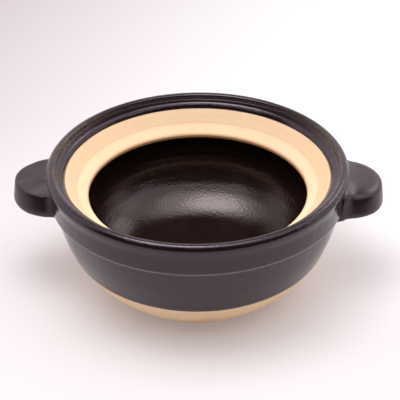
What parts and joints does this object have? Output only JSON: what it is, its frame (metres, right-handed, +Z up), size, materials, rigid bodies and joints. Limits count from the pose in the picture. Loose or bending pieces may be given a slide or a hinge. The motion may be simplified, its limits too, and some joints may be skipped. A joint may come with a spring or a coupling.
{
  "type": "glazed clay casserole pot",
  "caption": "Round clay casserole bowl without its lid: a bare ring inside the rim seats a lid, lug handles stand out at the sides, and black glaze covers all but the seat and the base.",
  "frame": {"origin": "centre of the base, on the surface that the pot rests on", "axes": "+Z up along the pot's axis, +X out along the right handle, +Y to the pot's back"},
  "size_m": [0.3104, 0.25, 0.108],
  "materials": {
    "bare_stoneware": "matte",
    "luting_slip": "matte",
    "black_glaze": "gloss"
  },
  "bodies": {
    "root": {"clay_bowl": "bare_stoneware", "left_handle": "bare_stoneware", "right_handle": "bare_stoneware", "left_handle_slip": "luting_slip", "right_handle_slip": "luting_slip", "outer_glaze_coat": "black_glaze", "inner_glaze_coat": "black_glaze", "left_handle_glaze": "black_glaze", "right_handle_glaze": "black_glaze"}
  },
  "joints": []
}
